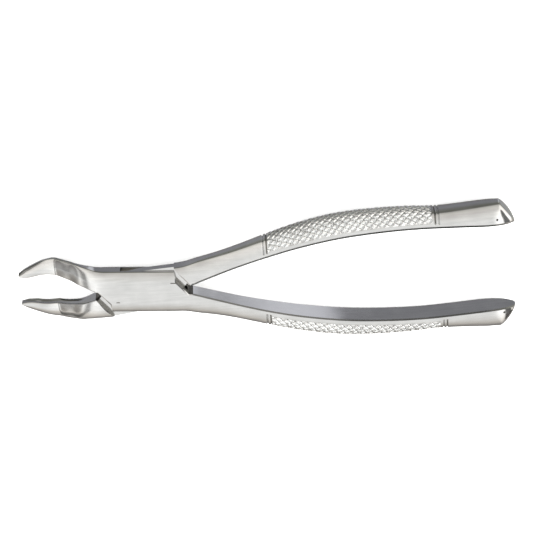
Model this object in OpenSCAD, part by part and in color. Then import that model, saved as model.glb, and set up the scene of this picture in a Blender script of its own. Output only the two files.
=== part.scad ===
// Extraction forceps with a box joint, made of two crossed forgings and a riveted pin.
// It lies flat: +Z is the pivot axis, +X runs to the handle ends, and +Y is the side of the
// tongue half's handle. The origin is on the pivot axis, in the joint's under land.

/* [Overall] */
// From the pivot axis to the handle ends
handle_reach = 131.5; // [125:0.5:138]
// From the pivot axis to the beak tips
beak_reach = 43.9; // [41:0.1:46]
// Turn of each half away from the centre plane at rest, in degrees
splay = 3.8; // [3.2:0.1:4.4]
// How far the tongue half turns from rest until the beaks are closed, in degrees
closing_turn = 9; // [6:0.5:9]

/* [Box joint] */
// Height of the joint's plate across the tool
plate_h = 15.8; // [15:0.1:16.6]
// Thickness between the two flat lands
land_t = 7.2; // [6.8:0.1:7.8]
// Width of each flat land
land_w = 8; // [6:0.5:10]
// Thickness left at the plate's rounded edges
edge_t = 3.5; // [3.2:0.1:4]
// Width of the slot between its two slanting end walls
slot_w = 22.6; // [22:0.1:23.4]
// Slant of the slot across the box half, in degrees
slot_slant = 46.5; // [44:0.5:49]
// Thickness of the tongue half's neck, which runs through the slot
neck_t = 2.6; // [2.2:0.1:2.8]
// Sliding clearance on each face of the neck
neck_clear = 0.1; // [0.05:0.01:0.15]
// Space left between the neck and the slot's end walls when closed
wall_clear = 0.3; // [0.2:0.05:0.5]

/* [Pin] */
// Radius of the riveted pin
pin_r = 1.6; // [1.4:0.05:1.8]
// Radius of the pin's countersunk heads, which are flush with the lands
head_r = 2.2; // [2:0.05:2.4]
// Depth of each countersunk head
head_h = 0.8; // [0.6:0.05:1]
// Running clearance between the pin and the neck's bore
pin_clear = 0.05; // [0.02:0.01:0.1]

/* [Handles] */
// Greatest width of the flat inner face, measured along the pivot axis
handle_w = 10.2; // [9.4:0.1:11]
// How square the handle's rounded back is: 2 is an ellipse
handle_square = 2.7; // [2.2:0.1:3]
// Rounding along the edges of the flat faces
face_edge = 0.4; // [0.2:0.1:0.6]

/* [Beaks] */
// Width of the beaks along the pivot axis, at their middle
beak_w = 4.5; // [4:0.1:5]
// Depth of the hollow along each beak's inner face
beak_hollow = 0.5; // [0.2:0.1:0.7]
// How square the beak's rounded back is: 2 is an ellipse
beak_square = 2.6; // [2:0.1:3]

/* [Hidden] */
steel = "#c8c9c8";

$fn = 64;
mid_z = land_t / 2;
slot_t = neck_t + 2 * neck_clear;
far = 60;            // longer than anything that it has to cut across
hidden_root = 12;    // where the swept handle and beak start, inside the joint's plate
plate_end = 16;      // where the joint's plate gives way to the handle and the beak
back_sides = 20;     // facets round the back of a swept section
face_sides = 4;      // facets across its inner face
end_start = 117;     // where a handle's inner face begins to narrow to its rounded end
back_start = 126;    // where a handle's back begins to round over to its end
end_square = 2.5;    // how square the inner face's rounded end is: 2 is an ellipse
back_square = 1.3;   // how square the back's rounded end is
hollow_start = 18;   // where a beak's hollow begins, from the pivot axis
hollow_run = 6;      // length over which the hollow deepens
tip_run = 4;         // length over which it runs out again at the tip
neck_reach = 20;     // half the length of the neck's stock, hidden inside the slot
dash_w = 0.35;       // width of the dashes struck into the cheeks
dash_cut = 0.2;      // depth of the dashes
dot_r = 0.4;         // radius of the dot drilled into the front of each handle's end
dot_floor = 1.2;     // floor of the dots above the joint's middle

// Each curve below is a list of [distance from the pivot axis, value], joined smoothly.
// Distance of the handle's flat inner face from the centre plane
handle_face = [[12, 0.2], [17, 1.5], [24, 4], [34, 7.45], [44, 10.5], [55, 13.3], [69, 15.85],
    [83, 17.15], [97, 17.6], [111, 17.15], [122, 16.6], [128, 16.55], [handle_reach, 16.9]];
// Depth of the handle behind that face
handle_depth = [[12, 8.2], [17, 8.2], [24, 7.4], [32, 6.8], [41, 6.8], [53, 7.3], [66, 7.6],
    [80, 7.2], [92, 6.6], [103, 6], [113, 6.8], [122, 7.9], [handle_reach, 8.3]];
// Width of the handle, as a share of its greatest width
handle_share = [[12, 0.7], [17, 0.7], [24, 0.75], [34, 0.8], [48, 0.92], [69, 0.99], [97, 1],
    [handle_reach, 1]];
// Height of the handle's middle above the joint's middle
handle_rise = [[12, 0], [17, -0.1], [24, -0.4], [38, -0.8], [64, -1.5], [100, -1.8], [118, -2.2],
    [handle_reach, -2.2]];
// Distance of the beak's inner face from the centre plane
beak_face = [[12, 0.3], [17, 1.6], [21.5, 3.4], [27, 5], [33, 5.8], [36, 5.7], [40.5, 4.9],
    [beak_reach, 5.2]];
// Distance of the beak's back from the centre plane
beak_back = [[12, 8.5], [16, 9.2], [19, 10], [24, 11.1], [30, 11.6], [33, 11.3], [36, 10.4], [41.3, 7.9],
    [beak_reach, 6.2]];
// Width of the beak, as a share of its width at the middle
beak_share = [[12, 1.6], [16, 1.51], [19, 1.36], [25, 1.07], [31, 1], [38, 0.96], [beak_reach, 0.76]];
// Height of the beak's middle above the joint's middle
beak_rise = [[12, 0], [15, 0], [17, -0.1], [18.5, -0.25], [20, -0.5], [22, -1.05], [23.5, -1.75],
    [25, -2.7], [28, -4.35], [30.2, -5.75], [30.8, -6.05], [36, -6.45], [beak_reach, -6.1]];

// Smooth curve through a list of points: the value at x
function part_of(t, x, i = 0) = i >= len(t) - 2 || x <= t[i + 1][0] ? i : part_of(t, x, i + 1);
function slope(t, i) =
    let (a = t[max(i - 1, 0)], b = t[min(i + 1, len(t) - 1)]) (b[1] - a[1]) / (b[0] - a[0]);
function curve(t, x) =
    let (i = part_of(t, x), a = t[i], b = t[i + 1], h = b[0] - a[0], s = (x - a[0]) / h)
    a[1] * (1 + 2 * s) * (1 - s) ^ 2 + b[1] * s ^ 2 * (3 - 2 * s)
        + h * (slope(t, i) * s * (1 - s) ^ 2 - slope(t, i + 1) * s ^ 2 * (1 - s));

// Share of the full size that is left near a rounded end: 1 at start, 0 at the end
function end_share(x, start, end, power) =
    x <= start ? 1 : max(0.02, 1 - ((x - start) / (end - start)) ^ power) ^ (1 / power);

// Cross-section at x: a rounded back from a face at y, with an edge round the face
function d_section(x, y, depth, width, z, square, hollow) =
    let (edge = min(face_edge, depth / 3, width / 4), half = width / 2, flat = half - edge)
    concat(
        [for (i = [0:back_sides]) let (a = 180 * i / back_sides)
            [x, y + edge + (depth - edge) * sin(a) ^ (2 / square),
                z + half * sign(cos(a)) * abs(cos(a)) ^ (2 / square)]],
        [for (i = [0:face_sides]) let (s = 2 * i / face_sides - 1)
            [x, y + hollow * (1 - s * s), z + flat * s]]);

// Solid through a row of cross-sections with equal numbers of points
module sweep(rings) {
    n = len(rings[0]);
    m = len(rings);
    first = floor(back_sides / 2);
    polyhedron([for (ring = rings) each ring], concat(
        [[for (j = [n - 1:-1:0]) (j + first) % n]],
        [[for (j = [0:n - 1]) (m - 1) * n + (j + first) % n]],
        [for (i = [0:m - 2], j = [0:n - 1]) let (a = i * n + j, b = i * n + (j + 1) % n)
            each [[a, b, a + n], [b, b + n, a + n]]]));
}

// One handle, on the +Y side, from inside the plate to its rounded end
module handle() {
    body_steps = 28;
    end_turn = 88;
    xs = concat(
        [for (i = [0:body_steps - 1]) hidden_root + (end_start - hidden_root) * i / body_steps],
        [for (a = [0:8:end_turn]) end_start + (handle_reach - end_start) * sin(a)]);
    sweep([for (x = xs) d_section(x, curve(handle_face, x),
        curve(handle_depth, x) * end_share(x, back_start, handle_reach, back_square),
        handle_w * curve(handle_share, x) * end_share(x, end_start, handle_reach, end_square),
        curve(handle_rise, x), handle_square, 0)]);
}

// One beak, on the +Y side, from inside the plate to its tip
module beak() {
    steps = 24;
    reaches = [for (i = [steps:-1:0]) hidden_root + (beak_reach - hidden_root) * i / steps];
    sweep([for (r = reaches)
        let (face = curve(beak_face, r), grip = min(1, max(0, (r - hollow_start) / hollow_run)),
            hollow = beak_hollow * grip * min(1, (beak_reach - r) / tip_run))
        d_section(-r, face, curve(beak_back, r) - face, beak_w * curve(beak_share, r),
            curve(beak_rise, r), beak_square, hollow)]);
}

// Cross-section of the joint's plate: flat lands that roll off to a rounded edge
function plate_corner(side_y, side_z) =
    [for (i = [0:8]) let (a = 90 * (side_y * side_z > 0 ? i : 8 - i) / 8)
        [side_y * (land_w / 2 + (plate_h - land_w) / 2 * sin(a)),
            side_z * (edge_t / 2 + (land_t - edge_t) / 2 * cos(a))]];

module plate(turn) {
    rotate([0, 0, turn]) rotate([90, 0, 90])
        linear_extrude(2 * far, center = true)
            polygon(concat(plate_corner(1, 1), plate_corner(1, -1), plate_corner(-1, -1),
                plate_corner(-1, 1)));
}

// Slanting band across the joint: the slot's end walls, or the neck that runs between them
module slanting_band(turn, width, thickness) {
    rotate([0, 0, turn]) cube([2 * far, width, thickness], center = true);
}

// Front view of the box half's cheeks, one half of the point-symmetric outline
cheek_side = [[-plate_end, far], [-plate_end, 1.75], [-15.9, 1.5], [-11.9, -3.6], [-11.3, -6.9],
    [-11.3, -far]];
module cheeks() {
    linear_extrude(2 * land_t, center = true) polygon(concat(cheek_side, -cheek_side));
}

// Front view of the open part between the tongue half's shoulders
shoulder_side = [[-far, far], [-far, -1.5], [-17, -1.5], [-16.3, -2.3], [-12.9, -6.6], [-11, -9.1],
    [-11, -far]];
module between_shoulders() {
    linear_extrude(2 * land_t, center = true) polygon(concat(shoulder_side, -shoulder_side));
}

// Small dashes struck into the front cheek: the middle and the length of each
dashes = [[[10.9, 3.4], 2.2], [[-9.1, -2.9], 1.2]];
module struck_dashes() {
    for (dash = dashes)
        translate([dash[0][0], dash[0][1], mid_z]) rotate([0, 0, -splay])
            cube([dash[1], dash_w, 2 * dash_cut], center = true);
}

// Small dot drilled into the front of a handle near its end
module end_dot(place) {
    translate([place[0], place[1], dot_floor]) cylinder(h = land_t, r = dot_r);
}

module countersunk_pin(shaft_r, top_r) {
    cylinder(h = land_t, r = shaft_r, center = true);
    for (side = [0, 1]) mirror([0, 0, side])
        translate([0, 0, land_t / 2 - head_h]) cylinder(h = head_h, r1 = shaft_r, r2 = top_r);
}

// The slotted half: one beak, both cheeks of the box and the -Y handle, in one forging
module box_half() {
    color(steel) translate([0, 0, mid_z]) difference() {
        union() {
            intersection() { plate(-splay); cheeks(); }
            beak();
            mirror([0, 1, 0]) handle();
        }
        slanting_band(slot_slant - splay, slot_w, slot_t);
        countersunk_pin(pin_r, head_r);
        struck_dashes();
        end_dot([127.1, -18]);
    }
}

// The other half: the -Y beak, the neck through the slot and the +Y handle, in one forging
module tongue_half() {
    closed_slant = slot_slant - splay + closing_turn;
    color(steel) translate([0, 0, mid_z]) difference() {
        union() {
            difference() {
                union() {
                    intersection() { plate(splay); cube([2 * plate_end + 2, far, far], center = true); }
                    mirror([0, 1, 0]) beak();
                    handle();
                }
                between_shoulders();
            }
            intersection() {
                plate(splay);
                slanting_band(closed_slant, slot_w - 2 * wall_clear, neck_t);
                cube([2 * neck_reach, far, far], center = true);
            }
        }
        cylinder(h = 2 * land_t, r = pin_r + pin_clear, center = true);
        end_dot([124.9, 19.2]);
    }
}

// The rivet that holds the two halves, headed into both cheeks and ground flush
module joint_pin() {
    color(steel) translate([0, 0, mid_z]) countersunk_pin(pin_r, head_r);
}

box_half();
tongue_half();
joint_pin();
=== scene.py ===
"""Extraction forceps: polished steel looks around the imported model.

Two forged halves cross in a box joint. Each half is one smooth skin, swept from the beak tip
through the joint's plate to the handle end, then cut where the joint is milled.
"""

import math

import bpy
import numpy as np
from bpy.props import FloatProperty, PointerProperty, StringProperty
from mathutils import Matrix, Vector


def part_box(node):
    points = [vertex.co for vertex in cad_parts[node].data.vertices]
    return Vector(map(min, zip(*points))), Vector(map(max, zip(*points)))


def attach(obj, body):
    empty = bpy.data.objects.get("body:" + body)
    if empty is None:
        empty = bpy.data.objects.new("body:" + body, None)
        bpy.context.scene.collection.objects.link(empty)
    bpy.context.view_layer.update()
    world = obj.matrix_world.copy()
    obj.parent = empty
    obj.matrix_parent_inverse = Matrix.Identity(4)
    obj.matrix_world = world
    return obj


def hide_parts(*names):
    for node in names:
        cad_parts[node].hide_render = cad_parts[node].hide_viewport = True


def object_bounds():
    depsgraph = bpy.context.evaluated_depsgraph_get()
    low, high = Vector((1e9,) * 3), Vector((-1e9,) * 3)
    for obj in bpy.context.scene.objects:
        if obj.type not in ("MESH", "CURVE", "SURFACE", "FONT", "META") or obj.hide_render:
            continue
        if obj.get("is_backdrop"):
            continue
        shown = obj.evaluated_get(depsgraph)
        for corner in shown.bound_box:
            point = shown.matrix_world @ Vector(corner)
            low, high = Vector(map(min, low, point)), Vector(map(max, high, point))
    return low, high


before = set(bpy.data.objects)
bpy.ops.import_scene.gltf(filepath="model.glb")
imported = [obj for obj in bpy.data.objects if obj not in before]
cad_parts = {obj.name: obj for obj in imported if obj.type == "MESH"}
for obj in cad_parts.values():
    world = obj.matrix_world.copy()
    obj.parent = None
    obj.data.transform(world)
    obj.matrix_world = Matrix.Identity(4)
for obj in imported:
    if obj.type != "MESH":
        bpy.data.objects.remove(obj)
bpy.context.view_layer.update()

bl_info = {
    "name": "Extraction forceps",
    "version": (1, 0, 0),
    "blender": (4, 5, 0),
    "location": "View3D > Sidebar > Forceps",
    "description": "Builds a pair of box-joint extraction forceps in polished stainless steel",
    "category": "Add Mesh",
}

MM = 0.001
FAR = 60.0

# Each curve is a list of (distance from the pivot axis, value) in millimetres, joined smoothly.
HANDLE_REACH = 131.5
BEAK_REACH = 43.9
HANDLE_FACE = [(12, 0.2), (17, 1.5), (24, 4), (34, 7.45), (44, 10.5), (55, 13.3), (69, 15.85),
               (83, 17.15), (97, 17.6), (111, 17.15), (122, 16.6), (128, 16.5), (HANDLE_REACH, 16.55)]
HANDLE_DEPTH = [(12, 8.2), (17, 8.2), (24, 7.4), (32, 6.8), (41, 6.8), (53, 7.3), (66, 7.6),
                (80, 7.2), (92, 6.6), (103, 6), (113, 6.8), (122, 7.9), (HANDLE_REACH, 8.3)]
HANDLE_HALF = [(12, 3.6), (17, 3.6), (24, 3.8), (34, 4.1), (48, 4.7), (69, 5.05), (97, 5.1),
               (HANDLE_REACH, 5.1)]
HANDLE_RISE = [(12, 0), (17, -0.1), (24, -0.4), (38, -0.8), (64, -1.5), (100, -1.8), (118, -2.2),
               (HANDLE_REACH, -2.2)]
BEAK_FACE = [(12, 0.3), (17, 1.6), (21.5, 3.4), (27, 5), (33, 5.8), (36, 5.7), (40.5, 4.9),
             (BEAK_REACH, 5.2)]
BEAK_BACK = [(12, 8.5), (16, 9.2), (19, 10), (24, 11.1), (30, 11.6), (33, 11.3), (36, 10.4),
             (41.3, 7.9), (BEAK_REACH, 6.2)]
BEAK_HALF = [(12, 3.6), (16, 3.4), (19, 3.05), (25, 2.4), (31, 2.25), (38, 2.15), (BEAK_REACH, 1.7)]
BEAK_RISE = [(12, 0), (15, 0), (17, -0.1), (18.5, -0.25), (20, -0.5), (22, -1.05), (23.5, -1.75),
             (25, -2.7), (28, -4.35), (30.2, -5.75), (30.8, -6.05), (36, -6.45), (BEAK_REACH, -6.1)]
BACK_START, BACK_SQUARE = 126, 1.3     # where a handle's back rounds over to its end, and how square
END_START, END_SQUARE = 117, 2.5       # the same for the outline of its flat face
HANDLE_EDGE = 0.7   # how far the handle's flat face stops short of its broad sides
BEAK_EDGE = 0.4     # the same for the beak's
BEAK_LEAN = 0.2     # share of its thickness that a beak loses from its inner face to its back
BEAK_CROWN = 0.3    # how far a beak's broad sides bulge, in millimetres
TONGUE_FLARE = 0.6  # how much further out the tongue half's plate runs beside its beak
BOX_KNURL, TONGUE_KNURL = 1.2, -1      # how much later each half's knurl ends than the usual place
BOX_CHAMFER, TONGUE_CHAMFER = 0.5, 1.5     # depth over width of the chamfer round a handle's flat face
CUT_START, CUT_SLOPE = 12.3, 1.78      # where the plate's inner corners are cut away, and how steeply
BEVEL_TILT = math.radians(30)
# Small dashes struck into the front cheek: middle, and half the length
DASHES = [((10.9, 3.4), 1.1), ((-9.1, -2.9), 0.6)]
DASH_HALF, DASH_CUT = 0.17, 0.2
# Small dot drilled into the front of each handle's end, down to a floor above the joint's middle
DOT_RADIUS, DOT_FLOOR = 0.4, 1.2
BOX_DOT, TONGUE_DOT = (127.1, -18), (124.9, 19.2)
PAST = 20           # further than any block has to reach above or below the joint
OVERLAP = 0.01      # how far neighbouring blocks reach into each other
# Where one kind of section turns into the next, as places along the tool from the pivot axis
PLATE_END = 12
BEAK_OUTLINE, HANDLE_OUTLINE = (-19, -11), (10, 20)
BEAK_SECTION, HANDLE_SECTION = (-26, -12.5), (11.5, 16)
BEAK_FLAT, HANDLE_BACK = (-16, -11.5), (13, 30)
FLARE_IN, FLARE_OUT = (-21, -14), (-11, 0)
HOLLOW_DEPTH, HOLLOW_START, HOLLOW_END = 0.5, (18, 24), 3   # the hollow in a beak's inner face
# How a section's corners roll off: 1 is a straight chamfer, 2 is round, more is squarer
ROUND, BEAK_SQUARER, BACK_SQUARER = 2, 0.4, 0.7
BEAK_BACK_EDGE, HANDLE_BACK_EDGE = 0.3, 0.2     # half thickness left in the middle of each back
BEAK_CREASE = 24    # degrees of turn left as a crease along a beak's back
MOST_EDGE = 0.97    # most of the half thickness that an edge may take up
SPARE = 0.02        # least distance between the two rolled corners of one side
# How the knurl fades in at its start, out at its end, and out towards the flat face
KNURL_IN, KNURL_OUT, KNURL_SIDE = (1.5, 1.9), (-1.8, -1.2), 0.3
GROOVE_POWER = 1.5  # above 1, a groove is narrower at its bottom
BORDER_SIDE, BORDER_HALF, BORDER_SHARE = (0.2, 0.6), 0.28, 0.9
BORDER_START, BORDER_END = (0, 1.2), (-0.2, 1)  # turned lines beside the knurl's start and its end
# the deepest part of each groove takes the dark milled colour, a painted shade, and the knurled area the
# paler knurl colour, a painted sheen
GROOVE_SHADE_FROM, KNURL_SHEEN_FROM = 0.66, 0.02          # share of the knurl's depth where each finish begins
OFF_BACK = 9        # added to the distance round a back for points that aren't on it
# Front view of the milled joint, one half of each point-symmetric outline
CHEEK_SIDE = [(-FAR, -20), (-FAR, -3), (-22, -3), (-17.3, 1.72), (-15.9, 1.5), (-11.9, -3.6),
              (-11.3, -6.9), (-11.3, -20)]
SHOULDER_SIDE = [(-FAR, 20), (-FAR, 0), (-22, 0), (-17.3, -1.5), (-17, -1.5), (-16.3, -2.3),
                 (-12.9, -6.6), (-11, -9.1), (-11, -20)]


class FORCEPS_PG_joint(bpy.types.PropertyGroup):
    """Sizes of the box joint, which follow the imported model."""
    plate: FloatProperty(name="Plate height",
                         description="Height of the joint's plate across the tool",
                         default=15.8 * MM, unit="LENGTH")
    land: FloatProperty(name="Land width", description="Width of each flat land",
                        default=8 * MM, unit="LENGTH")
    thickness: FloatProperty(name="Thickness", description="Thickness between the two lands",
                             default=(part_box("joint_pin")[1].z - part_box("joint_pin")[0].z), unit="LENGTH")
    edge: FloatProperty(name="Edge thickness",
                        description="Thickness left at the plate's rounded edges",
                        default=3.5 * MM, unit="LENGTH")
    neck: FloatProperty(name="Neck thickness", description="Thickness of the neck in the slot",
                        default=2.6 * MM, unit="LENGTH")
    splay: FloatProperty(name="Splay", description="Turn of each half away from the centre plane",
                         default=math.radians(3.8), subtype="ANGLE")
    slot: FloatProperty(name="Slot width",
                        description="Width between the slot's slanting end walls",
                        default=22.6 * MM, unit="LENGTH")
    slant: FloatProperty(name="Slot slant", description="Slant of the slot across the box half",
                         default=math.radians(46.5), subtype="ANGLE")
    closing: FloatProperty(name="Closing turn",
                           description="Turn of the tongue half until the beaks are closed",
                           default=math.radians(9), subtype="ANGLE")
    neck_gap: FloatProperty(name="Neck clearance",
                            description="Sliding clearance on each face of the neck",
                            default=0.1 * MM, unit="LENGTH")
    wall_gap: FloatProperty(name="Wall clearance",
                            description="Space between the neck and the slot's end walls",
                            default=0.3 * MM, unit="LENGTH")
    pin_gap: FloatProperty(name="Pin clearance",
                           description="Running clearance between the pin and the bore",
                           default=0.05 * MM, unit="LENGTH")
    bevel: FloatProperty(name="Bevel", description="Small bevel along the milled edges",
                         default=0.5 * MM, unit="LENGTH")
    pin: FloatProperty(name="Pin radius", description="Radius of the riveted pin",
                       default=1.6 * MM, unit="LENGTH")
    head: FloatProperty(name="Head radius", description="Radius of the pin's countersunk heads",
                        default=2.2 * MM, unit="LENGTH")
    sink: FloatProperty(name="Head depth", description="Depth of each countersunk head",
                        default=0.8 * MM, unit="LENGTH")


class FORCEPS_PG_knurl(bpy.types.PropertyGroup):
    """Sizes of the criss-cross knurl on the handles' backs."""
    start: FloatProperty(name="Start", description="Where the knurl begins, from the pivot axis",
                         default=43 * MM, unit="LENGTH")
    end: FloatProperty(name="End", description="Where the knurl ends, from the pivot axis",
                       default=104.5 * MM, unit="LENGTH")
    pitch: FloatProperty(name="Pitch", description="Distance between neighbouring grooves",
                         default=1.9 * MM, unit="LENGTH")
    low_lean: FloatProperty(name="First lean",
                            description="Angle of the first grooves to the handle",
                            default=math.radians(33), subtype="ANGLE")
    high_lean: FloatProperty(name="Second lean",
                             description="Angle of the crossing grooves to the handle",
                             default=math.radians(48), subtype="ANGLE")
    groove: FloatProperty(name="Groove width", description="Width of each groove at the surface",
                          default=1.25 * MM, unit="LENGTH")
    depth: FloatProperty(name="Depth", description="Depth of the grooves between the pads",
                         default=0.5 * MM, unit="LENGTH")
    margin: FloatProperty(name="Margin", description="Smooth strip beside the flat inner face",
                          default=1.2 * MM, unit="LENGTH")


class FORCEPS_PG_finish(bpy.types.PropertyGroup):
    """Colours and gloss of the steel and the stage."""
    steel: StringProperty(name="Steel", description="Reflected colour of the polished steel, as sRGB hex",
                          default="#D3D4D4")
    # the knurl's colour is paler than the polished steel: a painted sheen on the pads
    knurl: StringProperty(name="Knurl", description="Reflected colour of the knurled steel, as sRGB hex",
                          default="#EEF0F1")
    # the milled colour is dark: painted shade on cut walls, holes and groove bottoms
    milled: StringProperty(name="Milled", description="Reflected colour of the milled walls, as sRGB hex",
                           default="#75736D")
    floor: StringProperty(name="Floor", description="Colour of the floor, as sRGB hex",
                          default="#FAFAF9")


def settings():
    return bpy.context.scene.forceps_joint, bpy.context.scene.forceps_knurl, bpy.context.scene.forceps_finish


# ---------------------------------------------------------------- curves and sections

def curve(table, x):
    """Smooth curve through a list of (place, value) points, read at each x."""
    xs, vs = np.array(table, float).T
    slopes = np.empty_like(vs)
    slopes[1:-1] = (vs[2:] - vs[:-2]) / (xs[2:] - xs[:-2])
    slopes[0] = (vs[1] - vs[0]) / (xs[1] - xs[0])
    slopes[-1] = (vs[-1] - vs[-2]) / (xs[-1] - xs[-2])
    x = np.clip(x, xs[0], xs[-1])
    i = np.clip(np.searchsorted(xs, x) - 1, 0, len(xs) - 2)
    h = xs[i + 1] - xs[i]
    s = (x - xs[i]) / h
    return (vs[i] * (1 + 2 * s) * (1 - s) ** 2 + vs[i + 1] * s ** 2 * (3 - 2 * s)
            + h * (slopes[i] * s * (1 - s) ** 2 - slopes[i + 1] * s ** 2 * (1 - s)))


def ease(x, low, high):
    """0 below low, 1 above high, with a smooth rise between."""
    s = np.clip((x - low) / (high - low), 0, 1)
    return s * s * (3 - 2 * s)


def end_share(x, start, end, power):
    """Share of the full size left near a rounded end."""
    s = np.clip((x - start) / (end - start), 0, 1)
    return np.maximum(0.0005, 1 - s ** power) ** (1 / power)


# finish indices: the knurled one carries a painted sheen and the milled one a painted shade
POLISHED, KNURLED_SHEEN, MILLED_SHADE = 0, 1, 2


# Runs of sections along the tool: from, to and count. The handle's rounded end follows them, with
# its sections closer together towards the tip
RUNS = [(-BEAK_REACH, -17, 44), (-17, 18, 56), (18, 42, 34), (42, 107, 340), (107, END_START, 14)]
TIP_TURN, TIP_COUNT = 89.6, 44
# Points round a section: on each flat face, upper corner, broad side and lower corner
FLAT, BEAK_ARC, LAND, BACK_ARC = 5, 16, 4, 62


def stations():
    """Places along the tool where a section is made, denser where the shape is finer."""
    tip = END_START + (HANDLE_REACH - END_START) * np.sin(np.radians(np.linspace(0, TIP_TURN, TIP_COUNT)))
    return np.concatenate([np.linspace(*run)[:-1] for run in RUNS] + [tip])


def corner(roll, edge, half, power, count, turn=90):
    """Roll-off from an end face to the flat side: distance from the end, and half thickness.
    A turn below 90 degrees leaves a crease where the roll-off meets the flat side."""
    a = np.radians(np.linspace(0, turn, 181))
    t, h = 1 - np.cos(a) ** (2 / power), np.sin(a) ** (2 / power)
    t, h = roll * t / t[-1], edge + (half - edge) * h / h[-1]
    run = np.concatenate([[0], np.cumsum(np.hypot(np.diff(t), np.diff(h)))])
    even = np.linspace(0, run[-1], count)
    return np.interp(even, run, t), np.interp(even, run, h), even


def skin(flare, later, chamfer):
    """Points of one half's skin, as the box half lies: beak at +Y, handle at -Y, and the finish at
    each point. The joint's middle plane is z = 0, in millimetres. flare is added to the plate beside
    the beak, later moves the knurl's end, and chamfer is the handle chamfer's depth over its width."""
    joint, knurl, _ = settings()
    tilt = math.tan(joint.splay)
    plate_half = joint.plate / MM / 2 / math.cos(joint.splay)
    roll_plate = (joint.plate - joint.land) / MM / 2
    edge_plate = joint.edge / MM / 2
    half_plate = joint.thickness / MM / 2

    xs = stations()
    r = np.abs(xs)
    left = xs < 0
    edge = np.where(left, BEAK_EDGE, HANDLE_EDGE)
    plate_top, plate_low = plate_half - xs * tilt, -plate_half - xs * tilt
    beak, handle = 1 - ease(xs, *BEAK_OUTLINE), ease(xs, *HANDLE_OUTLINE)
    slant = np.maximum(0, r - CUT_START) * CUT_SLOPE
    face = np.where(left, curve(BEAK_FACE, r), -curve(HANDLE_FACE, r))
    back = np.where(left, curve(BEAK_BACK, r),
                    -curve(HANDLE_FACE, r)
                    - curve(HANDLE_DEPTH, r) * end_share(r, BACK_START, HANDLE_REACH, BACK_SQUARE))
    top = np.where(left, plate_top + (back - plate_top) * beak,
                   np.where(r < CUT_START, plate_top, np.maximum(plate_top - slant, face)))
    top = top + flare * ease(xs, *FLARE_IN) * (1 - ease(xs, *FLARE_OUT))
    low = np.where(left, np.where(r < CUT_START, plate_low, np.minimum(plate_low + slant, face)),
                   plate_low + (back - plate_low) * handle)
    half = np.where(left, curve(BEAK_HALF, r),
                    curve(HANDLE_HALF, r) * end_share(r, END_START, HANDLE_REACH, END_SQUARE))
    half = np.where(r < PLATE_END, half_plate, half)
    rise = np.where(left, curve(BEAK_RISE, r), curve(HANDLE_RISE, r))
    hollow = np.where(left, HOLLOW_DEPTH * ease(r, *HOLLOW_START)
                      * np.clip((BEAK_REACH - r) / HOLLOW_END, 0, 1), 0)
    soft_back = ease(xs, *HANDLE_BACK)

    rows, strip, places = [], [], []
    for k, x in enumerate(xs):
        depth = top[k] - low[k]
        b, hnd, sb = 1 - ease(x, *BEAK_SECTION), ease(x, *HANDLE_SECTION), soft_back[k]
        fine = min(edge[k], depth / 4, half[k] / 3)
        # upper end: beak's back, plate's edge, handle's flat face
        roll_u = roll_plate + (depth * 0.5 - roll_plate) * b + (chamfer * fine - roll_plate) * hnd
        edge_u = edge_plate + (BEAK_BACK_EDGE - edge_plate) * b + (half[k] - fine - edge_plate) * hnd
        power_u = ROUND + BEAK_SQUARER * b - hnd
        # lower end: beak's flat face, plate's edge, handle's back
        bf = 1 - ease(x, *BEAK_FLAT)
        roll_l = roll_plate + (fine - roll_plate) * bf + (depth - fine - roll_plate) * sb
        edge_l = (edge_plate + (half[k] - fine - edge_plate) * bf
                  + (HANDLE_BACK_EDGE - edge_plate) * sb)
        power_l = ROUND + BACK_SQUARER * sb
        edge_u, edge_l = min(edge_u, half[k] * MOST_EDGE), min(edge_l, half[k] * MOST_EDGE)
        roll_u = min(roll_u, depth - roll_l - SPARE) if x < 0 else roll_u
        roll_l = min(roll_l, depth - roll_u - SPARE)
        tu, hu, _ = corner(roll_u, edge_u, half[k], power_u, BEAK_ARC, 90 - BEAK_CREASE * b)
        tl, hl, sl = corner(roll_l, edge_l, half[k], power_l, BACK_ARC)
        flat = np.linspace(-1, 1, FLAT + 2)[1:-1]
        land = np.linspace(0, 1, LAND + 2)[1:-1]
        a, c = top[k] - tu[-1], low[k] + tl[-1]
        y = np.concatenate([
            np.full(FLAT, top[k]), top[k] - tu, a + (c - a) * land, (low[k] + tl)[::-1],
            low[k] + hollow[k] * (1 - flat ** 2),
            low[k] + tl, c + (a - c) * land, (top[k] - tu)[::-1]])
        z = np.concatenate([
            flat * edge_u, hu, np.full(LAND, half[k]), hl[::-1],
            -flat * edge_l, -hl, np.full(LAND, -half[k]), -hu[::-1]])
        reach = sl[-1] + edge_l
        s = np.concatenate([
            np.full(FLAT + BEAK_ARC + LAND, reach + OFF_BACK), (sl + edge_l)[::-1],
            -flat * edge_l, -(sl + edge_l), np.full(LAND + BEAK_ARC, -reach - OFF_BACK)])
        across = np.clip((y - low[k]) / depth, 0, 1)
        bulge = 1 - b * (BEAK_LEAN * across + BEAK_CROWN / half[k] * (2 * across - 1) ** 2)
        rows.append(np.column_stack([np.full(len(y), x), y, z * bulge + rise[k]]))
        strip.append(s)
        places.append(reach)
    points, around, reach = np.array(rows), np.array(strip), np.array(places)

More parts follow.
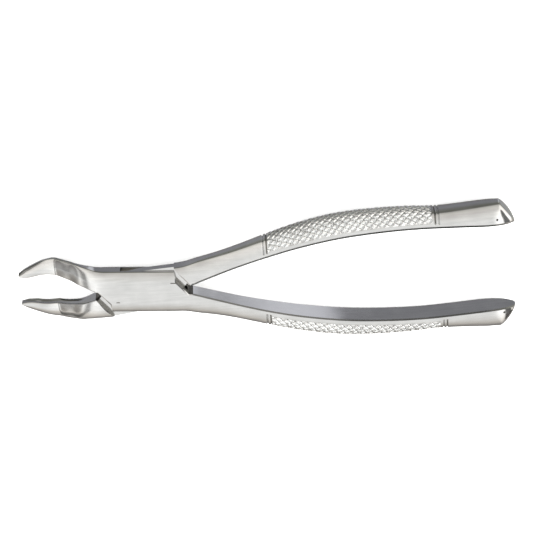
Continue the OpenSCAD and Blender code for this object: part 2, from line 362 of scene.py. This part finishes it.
    # knurl: two families of slanting grooves leave diamond pads between them
    start, end, margin = knurl.start / MM, knurl.end / MM + later, knurl.margin / MM
    along = np.concatenate([[0], np.cumsum(np.hypot(np.diff(xs), np.diff(back)))])[:, None]
    pitch, half_groove = knurl.pitch / MM, knurl.groove / MM / 2
    cut_depth = np.zeros_like(around)
    for lean, way in ((knurl.low_lean, -1), (knurl.high_lean, 1)):
        phase = (around * math.cos(lean) + way * along * math.sin(lean)) / pitch
        off = np.abs(phase - np.round(phase)) * pitch / half_groove
        cut_depth = np.maximum(cut_depth, (1 - np.minimum(off, 1)) ** GROOVE_POWER)
    where = xs[:, None]
    rim = reach[:, None] - margin
    inside = (ease(where, start + KNURL_IN[0], start + KNURL_IN[1])
              * (1 - ease(where, end + KNURL_OUT[0], end + KNURL_OUT[1]))
              * (1 - ease(np.abs(around), rim - KNURL_SIDE, rim)))
    groove = cut_depth * inside
    # turned lines that border the knurl, two at each end
    border = 1 - ease(np.abs(around), rim + BORDER_SIDE[0], rim + BORDER_SIDE[1])
    for line in [start + step for step in BORDER_START] + [end + step for step in BORDER_END]:
        hollowed = 1 - np.minimum(np.abs(where - line) / BORDER_HALF, 1) ** 2
        groove = np.maximum(groove, hollowed * border * BORDER_SHARE)
    side = np.roll(points, -1, 1) - np.roll(points, 1, 1)
    out = np.stack([np.zeros_like(around), side[:, :, 2], -side[:, :, 1]], -1)
    out /= np.maximum(np.linalg.norm(out, axis=-1, keepdims=True), 1e-9)
    centre = points.mean(1, keepdims=True)
    sign = np.sign(((points - centre) * out).sum(-1, keepdims=True))
    points = points - out * sign * (groove * knurl.depth / MM)[:, :, None]
    # bottoms of grooves and turned lines get the dark milled colour as painted shade; the rest of the knurl
    # gets the paler knurl colour as a painted sheen
    finish = np.where(groove > GROOVE_SHADE_FROM, MILLED_SHADE, np.where(inside > KNURL_SHEEN_FROM, KNURLED_SHEEN, POLISHED))
    return points, finish


# ---------------------------------------------------------------- mesh tools

def mesh_object(name, points, faces, materials=()):
    mesh = bpy.data.meshes.new(name)
    mesh.from_pydata([tuple(p) for p in points], [], faces)
    for material in materials:
        mesh.materials.append(material)
    mesh.validate()
    mesh.update()
    piece = bpy.data.objects.new(name, mesh)
    bpy.context.scene.collection.objects.link(piece)
    return piece


def forging(name, side, materials, flare, later, chamfer):
    """One half's skin as a closed mesh. side is 1 for the box half, -1 for its mirror image."""
    joint, _, _ = settings()
    points, finish = skin(flare, later, chamfer)
    points = points * np.array([1, side, 1])
    rows, count = points.shape[:2]
    i, j = np.meshgrid(np.arange(rows - 1), np.arange(count), indexing="ij")
    a, b = i * count + j, i * count + (j + 1) % count
    quads = np.stack([a, b, b + count, a + count], -1).reshape(-1, 4)
    caps = [list(range(count))[::-1], [(rows - 1) * count + n for n in range(count)]]
    if side < 0:
        # the mirror image has to be wound the other way for its faces to look outwards
        quads = quads[:, ::-1]
        caps = [cap[::-1] for cap in caps]
    finishes = finish.reshape(-1)[quads].min(1)
    points = points.reshape(-1, 3) + np.array([0, 0, joint.thickness / MM / 2])
    piece = mesh_object(name, points * MM, quads.tolist() + caps, materials)
    finishes = np.append(finishes, [POLISHED, POLISHED]).astype(np.int32)
    piece.data.polygons.foreach_set("material_index", finishes)
    return piece


def widened(outline, gap):
    """The outline with each side moved outwards by gap; its corners stay mitred."""
    points = [Vector(p) for p in outline]
    count = len(points)
    area = sum(points[k - 1].cross(points[k]) for k in range(count))
    normals = [Vector((d.y, -d.x)).normalized() * math.copysign(1, area)
               for d in (points[(k + 1) % count] - points[k] for k in range(count))]
    return [p + (normals[k - 1] + normals[k]) * gap / (1 + normals[k - 1].dot(normals[k]))
            for k, p in enumerate(points)]


def block(levels, materials, finish):
    """Closed block through outlines of equal length, each at a height above the joint's middle."""
    joint, _, _ = settings()
    middle = joint.thickness / MM / 2
    count = len(levels[0][1])
    points = [(p[0] * MM, p[1] * MM, (z + middle) * MM) for z, outline in levels for p in outline]
    first = [Vector(p[:2]) for p in levels[0][1]]
    area = sum(first[k - 1].cross(first[k]) for k in range(count))
    faces = [list(range(count))[::-1], [(len(levels) - 1) * count + k for k in range(count)]]
    for level in range(0, (len(levels) - 1) * count, count):
        for k in range(count):
            a, b = level + k, level + (k + 1) % count
            faces.append([a, b, b + count, a + count])
    if area < 0:
        faces = [f[::-1] for f in faces]
    cutter = mesh_object("cutter", points, faces, materials)
    cutter.data.polygons.foreach_set("material_index", [finish] * len(faces))
    return cutter


def prism(outline, low, high, materials, ends=MILLED_SHADE):
    """Closed block over a front-view outline, between two heights above the joint's middle. It
    leaves milled walls, painted dark as shade, and the given finish at its ends."""
    cutter = block([(low, outline), (high, outline)], materials, MILLED_SHADE)
    for end in cutter.data.polygons[:2]:
        end.material_index = ends
    return cutter


def bevelled(outline, materials):
    """Shallow block that bevels the lands' edges along a front-view outline."""
    joint, _, _ = settings()
    top, bevel = joint.thickness / MM / 2, joint.bevel / MM
    sink = bevel * math.tan(BEVEL_TILT)
    return block([(top - sink, outline), (top + sink, widened(outline, 2 * bevel))], materials, POLISHED)


def ring(radius, sides=96):
    return [(radius * math.cos(2 * math.pi * k / sides), radius * math.sin(2 * math.pi * k / sides))
            for k in range(sides)]


def dot(place, materials):
    """Small round hole drilled into a handle's front."""
    outline = [(place[0] + x, place[1] + y) for x, y in ring(DOT_RADIUS, 24)]
    # its wall and floor take the dark milled colour: painted shade down the hole
    return prism(outline, DOT_FLOOR, PAST, materials)


def pin_hole(materials):
    """The riveted pin's shape: a shaft with a countersunk head at each end."""
    joint, _, _ = settings()
    top, shaft, head, sink = (v / MM for v in (joint.thickness / 2, joint.pin, joint.head, joint.sink))
    past = 0.5
    wide = head + past * (head - shaft) / sink
    return block([(-top - past, ring(wide)), (sink - top, ring(shaft)), (top - sink, ring(shaft)),
                  (top + past, ring(wide))], materials, POLISHED)


def cut(piece, cutters, least=1000):
    """Cuts each closed block out of the piece. It has failed if fewer faces than least are left."""
    for cutter in cutters:
        step = piece.modifiers.new("cut", "BOOLEAN")
        step.operation = "DIFFERENCE"
        step.solver = "MANIFOLD"
        step.material_mode = "INDEX"
        step.object = cutter
    bpy.context.view_layer.update()
    result = bpy.data.meshes.new_from_object(piece.evaluated_get(bpy.context.evaluated_depsgraph_get()))
    piece.modifiers.clear()
    piece.data = result
    for cutter in cutters:
        bpy.data.objects.remove(cutter)
    if len(result.polygons) < least:
        raise RuntimeError(f"{piece.name}: the cut left {len(result.polygons)} faces")


def finish_surface(piece, crease=25):
    piece.data.polygons.foreach_set("use_smooth", [True] * len(piece.data.polygons))
    piece.data.set_sharp_from_angle(angle=math.radians(crease))
    piece.data.update()


def turned(outline, angle):
    c, s = math.cos(angle), math.sin(angle)
    return [(x * c - y * s, x * s + y * c) for x, y in outline]


def slanting_band(half, turn):
    """Outline of a long band across the joint, half as wide as half says on each side of the pivot."""
    reach = 2 * FAR
    return turned([(-reach, -half), (reach, -half), (reach, half), (-reach, half)], turn)


def mirrored(outline):
    return [(-x, -y) for x, y in outline]


# ---------------------------------------------------------------- materials

def linear(hex_colour):
    """sRGB hex to linear RGBA."""
    values = [int(hex_colour[k:k + 2], 16) / 255 for k in (1, 3, 5)]
    return [v / 12.92 if v <= 0.04045 else ((v + 0.055) / 1.055) ** 2.4 for v in values] + [1]


def add(tree, kind, links=(), **values):
    """Adds a node: values set its properties or inputs, links are (socket, from_socket) pairs."""
    node = tree.nodes.new(kind)
    for key, value in values.items():
        if key.startswith("in_"):
            name = key[3:].replace("_", " ")
            socket = node.inputs[int(name)] if name.isdigit() else node.inputs[name]
            socket.default_value = value
        else:
            setattr(node, key, value)
    for socket, source in links:
        tree.links.new(node.inputs[socket], source)
    return node


# Buffing lines along the tool, drawn 0.8 mm apart; the real ones are too fine to see singly
LINE_LENGTH, LINE_APART, LINE_DEPTH = 16, 0.8, 0.01
CLOUD_SIZE = 7                  # soft patches where the buffing wheel pressed more or less
NOISE_LOW, NOISE_HIGH = 0.7, 1.3
DULLEST, BRIGHTEST = 0.9, 1.04  # the same lines take a little brightness away


def steel(name, colour, roughness, streak, streak_bump):
    """Martensitic stainless, buffed along the tool, so its finest lines run along X."""
    material = bpy.data.materials.new(name)
    material.use_nodes = True
    tree = material.node_tree
    shader = tree.nodes["Principled BSDF"]
    shader.inputs["Metallic"].default_value = 1
    place = add(tree, "ShaderNodeTexCoord")
    stretch = add(tree, "ShaderNodeMapping", [("Vector", place.outputs["Object"])],
                  in_Scale=(1 / (LINE_LENGTH * MM), 1 / (LINE_APART * MM), 1 / (LINE_APART * MM)))
    lines = add(tree, "ShaderNodeTexNoise", [("Vector", stretch.outputs[0])],
                in_Scale=1.0, in_Detail=3.0, in_Roughness=0.6)
    cloud = add(tree, "ShaderNodeTexNoise", [("Vector", place.outputs["Object"])],
                in_Scale=1 / (CLOUD_SIZE * MM), in_Detail=2.0)
    mix = add(tree, "ShaderNodeMath", [(0, lines.outputs["Fac"]), (1, cloud.outputs["Fac"])],
              operation="ADD")
    spread = add(tree, "ShaderNodeMapRange", [("Value", mix.outputs[0])],
                 in_1=NOISE_LOW, in_2=NOISE_HIGH, in_3=roughness - streak, in_4=roughness + streak)
    tree.links.new(shader.inputs["Roughness"], spread.outputs[0])
    loss = add(tree, "ShaderNodeMapRange", [("Value", mix.outputs[0])],
               in_1=NOISE_LOW, in_2=NOISE_HIGH, in_3=DULLEST, in_4=BRIGHTEST)
    shade = add(tree, "ShaderNodeMix", [(7, loss.outputs[0])], data_type="RGBA", blend_type="MULTIPLY",
                in_0=1.0, in_6=linear(colour))
    tree.links.new(shader.inputs["Base Color"], shade.outputs[2])
    bump = add(tree, "ShaderNodeBump", [("Height", lines.outputs["Fac"])],
               in_Strength=streak_bump, in_Distance=LINE_DEPTH * MM)
    tree.links.new(shader.inputs["Normal"], bump.outputs[0])
    return material


def steels():
    """The three finishes, polished, knurled and milled, in the order of their indices: the knurled one is
    painted paler as a sheen on the pads, the milled one painted dark as shade.
    """
    _, _, finish = settings()
    return [
        # buffed to a mirror: long reflections with clear ends, faintly streaked along the tool
        steel("mirror_polished_stainless", finish.steel, roughness=0.12, streak=0.04, streak_bump=0.25),
        # pads that the wheel only brushes: satin, blurred a little from pad to pad, and painted paler than
        # the polished steel as a sheen
        steel("satin_knurled_stainless_painted_sheen", finish.knurl, roughness=0.22, streak=0.05, streak_bump=0.3),
        # left as the cutter made it: dull, and painted dark as shade, so slots, holes and grooves look deep
        steel("milled_stainless_painted_shade", finish.milled, roughness=0.3, streak=0.08, streak_bump=0.6)]


def dress(piece, node, body):
    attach(piece, body)
    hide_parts(node)


# ---------------------------------------------------------------- operators

class FORCEPS_OT_box_half(bpy.types.Operator):
    """The slotted half: one beak, both cheeks of the box and a handle"""
    bl_idname = "forceps.box_half"
    bl_label = "Box half"

    def execute(self, context):
        joint, _, _ = settings()
        materials = steels()
        piece = forging("box_half_forging", 1, materials, 0, BOX_KNURL, BOX_CHAMFER)
        top = joint.thickness / MM / 2
        gap = (joint.neck / 2 + joint.neck_gap) / MM
        slot = slanting_band(joint.slot / MM / 2, joint.slant - joint.splay)
        # the slot, the cheeks' cut walls and the dashes take the dark milled colour: painted shade
        cutters = [prism(slot, -gap, gap, materials), pin_hole(materials), dot(BOX_DOT, materials)]
        for side in (CHEEK_SIDE, mirrored(CHEEK_SIDE)):
            cutters += [prism(side, -PAST, PAST, materials), bevelled(side, materials)]
        for (x, y), half in DASHES:
            dash = turned([(-half, -DASH_HALF), (half, -DASH_HALF), (half, DASH_HALF),
                           (-half, DASH_HALF)], -joint.splay)
            dash = [(x + p[0], y + p[1]) for p in dash]
            cutters.append(prism(dash, top - DASH_CUT, top + DASH_CUT, materials))
        cut(piece, cutters)
        finish_surface(piece)
        dress(piece, "box_half", "box_body")
        return {"FINISHED"}


class FORCEPS_OT_tongue_half(bpy.types.Operator):
    """The other half: one beak, the neck through the slot and a handle"""
    bl_idname = "forceps.tongue_half"
    bl_label = "Tongue half"

    def execute(self, context):
        joint, _, _ = settings()
        materials = steels()
        piece = forging("tongue_half_forging", -1, materials, TONGUE_FLARE, TONGUE_KNURL,
                        TONGUE_CHAMFER)
        neck = joint.neck / MM / 2
        outline = SHOULDER_SIDE + mirrored(SHOULDER_SIDE)
        # beyond the slot's end walls the neck's stock goes too, down to its slanting ends
        ends = prism(outline, -neck - OVERLAP, neck + OVERLAP, materials)
        kept = slanting_band((joint.slot / 2 - joint.wall_gap) / MM,
                             joint.slant - joint.splay + joint.closing)
        cut(ends, [prism(kept, -PAST, PAST, materials)], least=8)
        bore = ring((joint.pin + joint.pin_gap) / MM)
        # the shoulders' cut walls, the neck's slanting ends and the bore take the dark milled colour, a
        # painted shade; the neck's faces stay polished
        cut(piece, [prism(outline, neck, PAST, materials, POLISHED),
                    prism(outline, -PAST, -neck, materials, POLISHED),
                    bevelled(outline, materials), ends, prism(bore, -PAST, PAST, materials),
                    dot(TONGUE_DOT, materials)])
        finish_surface(piece)
        dress(piece, "tongue_half", "tongue_body")
        return {"FINISHED"}


class FORCEPS_OT_joint_pin(bpy.types.Operator):
    """The riveted pin, ground flush with the lands"""
    bl_idname = "forceps.joint_pin"
    bl_label = "Joint pin"

    def execute(self, context):
        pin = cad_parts["joint_pin"]
        pin.data.materials.clear()
        pin.data.materials.append(steels()[0])
        return {"FINISHED"}


class FORCEPS_OT_stage(bpy.types.Operator):
    """Floor, soft light and camera"""
    bl_idname = "forceps.stage"
    bl_label = "Stage"

    def execute(self, context):
        scene = context.scene
        _, _, finish = settings()
        low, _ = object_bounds()
        corners = ((-FLOOR_HALF, -FLOOR_HALF), (FLOOR_HALF, -FLOOR_HALF), (FLOOR_HALF, FLOOR_HALF),
                   (-FLOOR_HALF, FLOOR_HALF))
        level = low[2] - FLOOR_GAP * MM
        floor = mesh_object("floor", [(x, y, level) for x, y in corners], [[0, 1, 2, 3]])
        # matt white paint: even and pale, with nothing but soft shadows on it
        paint = bpy.data.materials.new("pale_matt_floor")
        paint.use_nodes = True
        shader = paint.node_tree.nodes["Principled BSDF"]
        shader.inputs["Base Color"].default_value = linear(finish.floor)
        shader.inputs["Roughness"].default_value = 0.9
        floor.data.materials.append(paint)
        # the steel mirrors the tent all round, and not the floor
        floor.visible_glossy = False
        floor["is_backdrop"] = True
        surround(scene)
        view_camera(scene)
        scene.view_settings.view_transform = "Standard"
        return {"FINISHED"}


FLOOR_HALF, FLOOR_GAP = 2, 0.02     # half the floor's side in metres, its gap below the tool in mm

# The tent that the steel mirrors. Its tones are painted, to give the steel the light and dark
# bands of a tool in a studio, and only reflections see it: all other light is plain white.
# Brightness round the tool, by turn about +X in degrees: 0 is +Z, 90 is +Y
STUDIO = [(-180, "#6E6E6C"), (-166, "#767673"), (-158, "#7E7E7A"), (-152, "#84837F"), (-141, "#7C7A76"),
          (-130, "#6F6D69"), (-106, "#75726E"), (-90, "#86837F"), (-80, "#98938D"), (-62, "#B8B3AC"),
          (-28, "#DFDEDC"), (0, "#D8D6D2"), (30, "#C8C4C0"), (62, "#C0BCB6"), (86, "#B0ADA7"),
          (92, "#6B6B65"), (110, "#605F5A"), (130, "#6A6A66"), (152, "#757579"), (180, "#6E6E6C")]
# Darker and brighter panels to the left and right, by the X part of the direction
PANELS = [(-1, 0.6), (-0.84, 0.35), (-0.8, 0.45), (-0.77, 0.7), (-0.73, 0.9), (-0.68, 0.6),
          (-0.64, 0.3), (-0.57, 0.35), (-0.51, 1.35), (-0.36, 1.35), (-0.2, 1.1), (-0.1, 1.0),
          (0.3, 1.0), (0.4, 1.6), (0.9, 1.9), (1, 1.5)]
# Cards that brighten or darken one patch: turn from and to, X part from and to, soft edges, gain
CARDS = [(118, 186, 0.175, 0.27, (8, 0.02), 3.0),
         (118, 186, 0.275, 0.335, (8, 0.02), 1.7),
         (-120, -26, -0.9, -0.57, (8, 0.02), 1.55),
         (-95, 25, 0.56, 0.82, (6, 0.02), 0.1)]
TENT_STRENGTH = 1.52    # brightness of the tent, in reflections only
FLOOR_LIGHT = 2.6       # brightness of the plain white light on everything else


def surround(scene):
    """Plain white light from all round, and a tent painted by direction that only reflections see."""
    world = bpy.data.worlds.new("studio")
    scene.world = world
    world.use_nodes = True
    tree = world.node_tree
    tree.nodes.clear()
    place = add(tree, "ShaderNodeTexCoord")
    axes = add(tree, "ShaderNodeSeparateXYZ", [("Vector", place.outputs["Generated"])])
    turn = add(tree, "ShaderNodeMath", [(0, axes.outputs["Y"]), (1, axes.outputs["Z"])],
               operation="ARCTAN2")
    share = add(tree, "ShaderNodeMapRange", [("Value", turn.outputs[0])], in_1=-math.pi, in_2=math.pi)
    tent = add(tree, "ShaderNodeValToRGB", [("Fac", share.outputs[0])])
    fill_ramp(tent.color_ramp, [((deg + 180) / 360, linear(colour)) for deg, colour in STUDIO])
    across = add(tree, "ShaderNodeMapRange", [("Value", axes.outputs["X"])], in_1=-1.0, in_2=1.0)
    panels = add(tree, "ShaderNodeValToRGB", [("Fac", across.outputs[0])])
    fill_ramp(panels.color_ramp, [((x + 1) / 2, [v / 2] * 3 + [1]) for x, v in PANELS])
    both = add(tree, "ShaderNodeMix", [(6, tent.outputs[0]), (7, panels.outputs[0])],
               data_type="RGBA", blend_type="MULTIPLY", in_0=1.0)
    strength = add(tree, "ShaderNodeValue")
    strength.outputs[0].default_value = 2 * TENT_STRENGTH
    strength = strength.outputs[0]
    for low, high, left, right, (soft_turn, soft_x), gain in CARDS:
        inside = card(tree, turn.outputs[0], *(math.radians(v) for v in (low, high, soft_turn)))
        beside = card(tree, axes.outputs["X"], left, right, soft_x)
        patch = add(tree, "ShaderNodeMath", [(0, inside), (1, beside)], operation="MULTIPLY")
        boost = add(tree, "ShaderNodeMapRange", [("Value", patch.outputs[0])], in_3=1.0, in_4=gain)
        strength = add(tree, "ShaderNodeMath", [(0, strength), (1, boost.outputs[0])],
                       operation="MULTIPLY").outputs[0]
    lit = add(tree, "ShaderNodeBackground", [("Color", both.outputs[2]), ("Strength", strength)])
    plain = add(tree, "ShaderNodeBackground", in_Color=(1, 1, 1, 1), in_Strength=FLOOR_LIGHT)
    path = add(tree, "ShaderNodeLightPath")
    glossy = add(tree, "ShaderNodeMixShader", [(0, path.outputs["Is Glossy Ray"]), (1, plain.outputs[0]),
                                               (2, lit.outputs[0])])
    add(tree, "ShaderNodeOutputWorld", [("Surface", glossy.outputs[0])])


def card(tree, value, low, high, soft):
    """1 while the value is between low and high, falling softly to 0 outside."""
    rise = add(tree, "ShaderNodeMapRange", [("Value", value)], in_1=low - soft, in_2=low + soft)
    fall = add(tree, "ShaderNodeMapRange", [("Value", value)], in_1=high + soft, in_2=high - soft)
    return add(tree, "ShaderNodeMath", [(0, rise.outputs[0]), (1, fall.outputs[0])],
               operation="MULTIPLY").outputs[0]


def fill_ramp(ramp, stops):
    ramp.interpolation = "LINEAR"
    while len(ramp.elements) > 1:
        ramp.elements.remove(ramp.elements[0])
    first = ramp.elements[0]
    first.position, first.color = stops[0][0], stops[0][1]
    for position, colour in stops[1:]:
        ramp.elements.new(position).color = colour


VIEW_TILT, VIEW_ROLL = math.radians(28), math.radians(3.8)  # off the pivot axis, and round the view
VIEW_WIDTH, VIEW_AIM = 187.9, (43.36, 7.93)     # millimetres across the picture, and to its middle
LENS, SENSOR = 150, 36                          # millimetres
NEAREST, FURTHEST = 0.01, 10                    # metres


def view_camera(scene):
    """A long lens, looking down and a little along the tool from the tongue handle's side."""
    joint, _, _ = settings()
    back = Vector((0, math.sin(VIEW_TILT), math.cos(VIEW_TILT)))
    up_plain = Vector((0, math.cos(VIEW_TILT), -math.sin(VIEW_TILT)))
    along = Vector((1, 0, 0))
    right = along * math.cos(VIEW_ROLL) - up_plain * math.sin(VIEW_ROLL)
    up = along * math.sin(VIEW_ROLL) + up_plain * math.cos(VIEW_ROLL)
    aim = Vector((0, 0, joint.thickness / 2)) + right * VIEW_AIM[0] * MM + up * VIEW_AIM[1] * MM
    data = bpy.data.cameras.new("camera")
    data.lens, data.sensor_width = LENS, SENSOR
    data.clip_start, data.clip_end = NEAREST, FURTHEST
    camera = bpy.data.objects.new("camera", data)
    scene.collection.objects.link(camera)
    place = aim + back * (VIEW_WIDTH * MM) * data.lens / data.sensor_width
    camera.matrix_world = Matrix.Translation(place) @ Matrix((right, up, back)).transposed().to_4x4()
    scene.camera = camera


class FORCEPS_PT_panel(bpy.types.Panel):
    """Sizes, finish and the steps that build the forceps"""
    bl_idname = "FORCEPS_PT_panel"
    bl_label = "Extraction forceps"
    bl_space_type = "VIEW_3D"
    bl_region_type = "UI"
    bl_category = "Forceps"

    def draw(self, context):
        for group in settings():
            box = self.layout.box()
            for name in group.__annotations__:
                box.prop(group, name)
        for step in STEPS:
            self.layout.operator(step.bl_idname)


STEPS = (FORCEPS_OT_box_half, FORCEPS_OT_tongue_half, FORCEPS_OT_joint_pin, FORCEPS_OT_stage)
GROUPS = (FORCEPS_PG_joint, FORCEPS_PG_knurl, FORCEPS_PG_finish)


def register():
    for kind in GROUPS + STEPS + (FORCEPS_PT_panel,):
        bpy.utils.register_class(kind)
    bpy.types.Scene.forceps_joint = PointerProperty(type=FORCEPS_PG_joint)
    bpy.types.Scene.forceps_knurl = PointerProperty(type=FORCEPS_PG_knurl)
    bpy.types.Scene.forceps_finish = PointerProperty(type=FORCEPS_PG_finish)


def unregister():
    for name in ("forceps_joint", "forceps_knurl", "forceps_finish"):
        delattr(bpy.types.Scene, name)
    for kind in reversed(GROUPS + STEPS + (FORCEPS_PT_panel,)):
        bpy.utils.unregister_class(kind)


def main():
    register()
    bpy.ops.forceps.box_half()
    bpy.ops.forceps.tongue_half()
    bpy.ops.forceps.joint_pin()
    bpy.ops.forceps.stage()


if __name__ == "__main__":
    main()
